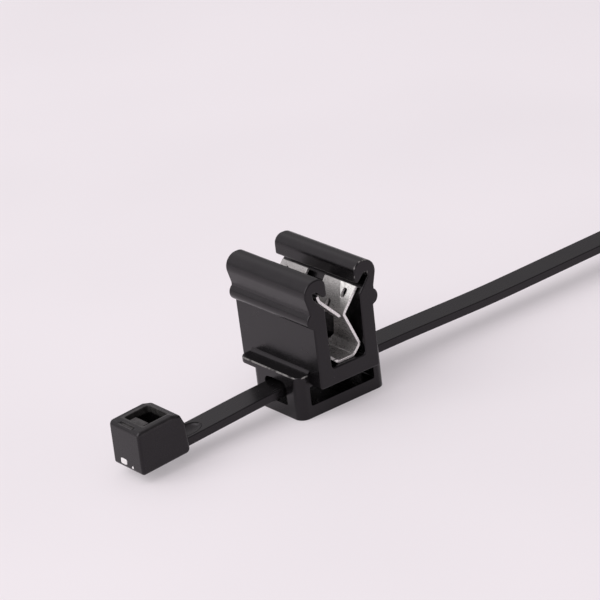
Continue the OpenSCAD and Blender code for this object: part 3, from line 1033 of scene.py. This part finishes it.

# %% [markdown]
# ## The tie's head
# The head is a small block with soft edges, tilted like the strap that leaves it. A square passage goes
# through it from top to bottom, and a pawl slants down into that passage to catch the teeth. Next to the
# head the strap has a thumb-shaped hollow. The head's upper edges are painted a little paler, as highlights.

# %% Make the head
HEAD_WIDTH = 7.7
HEAD_LOW = -0.1
HEAD_HIGH = 7.15
HEAD_EDGE = 0.5
HEAD_CORNER = 0.8
HEAD_FOOT = 0.55
HEAD_RAKE = 0.55
HEAD_SHOULDER = 2.3
SHOULDER_CUT = 0.6
SHOULDER_ROUND = 0.7
HEAD_SOFT = 0.26
PASSAGE_LENGTH = 4.6
PASSAGE_END = 2.1
PASSAGE_WALL = 1.4
PASSAGE_CORNER = 0.35
PAWL_WIDTH = 3.4
RELEASE_WIDTH = 0.5
RELEASE_DEPTH = 0.3

foot_end = -HEAD_LENGTH - HEAD_RAKE
side_view = rounded([
    (foot_end, HEAD_LOW, HEAD_FOOT), (0, HEAD_LOW, HEAD_CORNER),
    (0, HEAD_HIGH - HEAD_SHOULDER, SHOULDER_ROUND), (-SHOULDER_CUT, HEAD_HIGH - SHOULDER_CUT, SHOULDER_ROUND),
    (-HEAD_SHOULDER, HEAD_HIGH, SHOULDER_ROUND), (-HEAD_LENGTH, HEAD_HIGH, HEAD_CORNER),
])
head = prism("head", side_view, -HEAD_WIDTH / 2, HEAD_WIDTH / 2, "Y", HEAD_EDGE)
passage_x = -HEAD_LENGTH + PASSAGE_END
passage_middle = passage_x + PASSAGE_LENGTH / 2
passage_width = HEAD_WIDTH - 2 * PASSAGE_WALL
passage = plate_outline(PASSAGE_LENGTH, passage_width, PASSAGE_CORNER, (passage_middle, 0))
join(head, prism("passage", passage, HEAD_LOW - BEYOND, HEAD_HIGH + BEYOND, "Z"), "DIFFERENCE")
release_x = -HEAD_LENGTH + HEAD_EDGE + RELEASE_WIDTH / 2
release = plate_outline(RELEASE_WIDTH, PAWL_WIDTH, RELEASE_WIDTH / 3, (release_x, 0))
join(head, prism("release", release, HEAD_HIGH - RELEASE_DEPTH, HEAD_HIGH + BEYOND, "Z"), "DIFFERENCE")
soften(head, HEAD_SOFT)
print("head:", len(head.data.polygons), "faces")

# %% Set the pawl in the passage
PAWL_GAP = 1.6
PAWL_TOP = 0.45
PAWL_BRIDGE = 1.6
PAWL_ROOT = 3.0
PAWL_NECK = 4.1
PAWL_TIP = 5.1
PAWL_LOW = 5.6
PAWL_BACK = 0.5
PAWL_SUNK = 0.3
PAWL_EDGE = 0.15
TIP_SOFT = 0.2
BACK_SOFT = 0.3

pawl_tip = passage_x + PASSAGE_LENGTH - PAWL_GAP
pawl_root = passage_x - PAWL_SUNK
pawl_view = rounded([
    (pawl_root, HEAD_HIGH - PAWL_TOP, 0), (pawl_root, HEAD_HIGH - PAWL_ROOT, 0),
    (pawl_tip - PAWL_BACK, HEAD_HIGH - PAWL_LOW, TIP_SOFT), (pawl_tip, HEAD_HIGH - PAWL_TIP, TIP_SOFT),
    (pawl_tip - PAWL_BACK, HEAD_HIGH - PAWL_NECK, BACK_SOFT),
    (passage_x + PAWL_BRIDGE, HEAD_HIGH - PAWL_TOP, BACK_SOFT),
])
join(head, prism("pawl", pawl_view, -PAWL_WIDTH / 2, PAWL_WIDTH / 2, "Y", PAWL_EDGE), "UNION")
print("head with its pawl:", len(head.data.polygons), "faces")

# %% Tilt the head, scoop the hollow and join head and strap
SCOOP_REACH = 5.0
SCOOP_START = 0.42
SCOOP_HALF = 1.95
SCOOP_ROUND = 1.0
SCOOP_DEPTH = 0.85

head_place = (
    Matrix.Translation((STRAP_START, 0, head_lift))
    @ Matrix.Rotation(-math.atan(HEAD_SLOPE), 4, "Y")
)
in_metres = head_place.copy()
in_metres.translation *= MM
head.data.transform(in_metres)
bm = bmesh.new()
bmesh.ops.create_uvsphere(bm, u_segments=48, v_segments=24, radius=1.0)
scoop_middle = SCOOP_REACH * SCOOP_START
scoop_sizes = Vector((SCOOP_REACH - scoop_middle, SCOOP_HALF, SCOOP_ROUND))
bmesh.ops.scale(bm, vec=scoop_sizes, verts=bm.verts)
lift = STRAP_THICKNESS + scoop_sizes.z - SCOOP_DEPTH
bmesh.ops.translate(bm, vec=(scoop_middle, 0, lift), verts=bm.verts)
bm.transform(head_place)
join(tie, new_object("scoop", bm), "DIFFERENCE")
join(tie, head, "UNION")
print("tie:", len(tie.data.polygons), "faces")

# %% Paint highlights on the head's edges and dress the tie
TIE_BLACK = (0.0026, 0.0024, 0.0026, 1.0)
TIE_WORN = (0.0054, 0.0050, 0.0054, 1.0)
TIE_FLOW = (0.12, 1.0, 1.0)
TIE_SHINE = 0.26
HEAD_HALF = HEAD_WIDTH / 2
PAWL_HALF = PAWL_WIDTH / 2
top_start = STRAP_START - HEAD_HIGH * math.sin(math.atan(HEAD_SLOPE))


def head_painted_highlights(place):
    """Where painted highlights lie on the head's top: round the passage, along the release slot and at the
    long edges.
    """
    x, y, z = place.parts()
    aside = y.size()
    top = z.past(head_lift + 5.6, head_lift + 6.0)
    along = (x - (top_start + passage_middle) * MM).size() - PASSAGE_LENGTH / 2 * MM
    rim = 1 - along.larger(aside - passage_width / 2 * MM).past(0.35, 0.6)
    bar = 1 - (x - (top_start + release_x) * MM).size().past(0.35, 0.5)
    bar = bar * (1 - aside.past(PAWL_HALF - 0.1, PAWL_HALF + 0.1))
    height = z - (x - STRAP_START * MM) * HEAD_SLOPE - head_lift * MM
    brow = height.past(HEAD_HIGH - HEAD_EDGE - 0.3, HEAD_HIGH - HEAD_EDGE)
    brow = brow * aside.past(HEAD_HALF - HEAD_EDGE - 0.2, HEAD_HALF - HEAD_EDGE / 2)
    # The head's painted highlights are patchy, not even.
    patchy = 0.4 + 0.6 * place.noise(0.9, 3.0).between(0.3, 0.65)
    return (top * rim.larger(bar)).larger(brow * 0.3) * patchy * 0.13


TIE_NYLON = make_nylon("tie_nylon", TIE_BLACK, TIE_WORN, TIE_FLOW, TIE_SHINE, head_painted_highlights)
dress(tie, TIE_NYLON, "cable_tie")

# %% [markdown]
# ## The gate mark
# Where the tie was broken off its runner, the end face keeps a torn patch: stretched nylon turns pale.
# The patch is two low lumps with uneven rims. The unevenness comes from a random generator with a fixed
# seed, so that it is the same each time, and the lumps' feet are sunk into the head.

# %% Tear the gate mark
TORN_PALE = (0.82, 0.80, 0.80, 1.0)
TORN_GREY = (0.55, 0.53, 0.53, 1.0)


def make_torn(name):
    """Pale torn nylon with short fibres."""
    material, shader, place = start_finish(name)
    fibres = place.noise(0.22, 4.0, 0.7)
    feed(
        shader,
        Base_Color=fibres.between(0.35, 0.7).blend(TORN_PALE, TORN_GREY),
        Roughness=0.5 + fibres * 0.3,
        Normal=raised(fibres, 0.06, 0.8),
    )
    return material


GATE_SUNK = 0.3
GATE_MARKS = [(0.9, 1.12, 0.85, 0.5, 0.16), (-1.3, 0.7, 0.2, 0.22, 0.1)]
GATE_RINGS = [(1.0, -GATE_SUNK), (1.0, 0.35), (0.8, 1.0), (0.4, 0.9)]
GATE_POINTS = 20
SQUARENESS = 0.55
RIM_TEAR = (0.86, 1.04)
TOP_TEAR = (0.75, 1.15)
face_lean = HEAD_RAKE / (HEAD_HIGH - HEAD_LOW)
tear = random.Random(11)


def torn_lump(bm, y, z, half_y, half_z, height):
    """A low lump with a nearly square, uneven rim on the head's end face."""
    rim = []
    for i in range(GATE_POINTS):
        angle = math.tau * i / GATE_POINTS
        corner = 1 / max(abs(math.cos(angle)), abs(math.sin(angle)))
        reach = (1 + (corner - 1) * SQUARENESS) * tear.uniform(*RIM_TEAR)
        rim.append((half_y * reach * math.cos(angle), half_z * reach * math.sin(angle)))
    rings = []
    for share, rise in GATE_RINGS:
        ring = []
        for v, w in rim:
            out = rise if rise < 0 else height * rise * tear.uniform(*TOP_TEAR)
            face_x = foot_end + (z + w * share - HEAD_LOW) * face_lean
            ring.append(bm.verts.new((face_x - out, y + v * share, z + w * share)))
        rings.append(ring)
    skin(bm, rings)


bm = bmesh.new()
for mark in GATE_MARKS:
    torn_lump(bm, *mark)
bm.transform(head_place)
gate = new_object("gate_mark", bm)
gate.data.materials.append(make_torn("torn_nylon"))
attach(gate, "root")
print("gate mark:", len(gate.data.polygons), "faces")
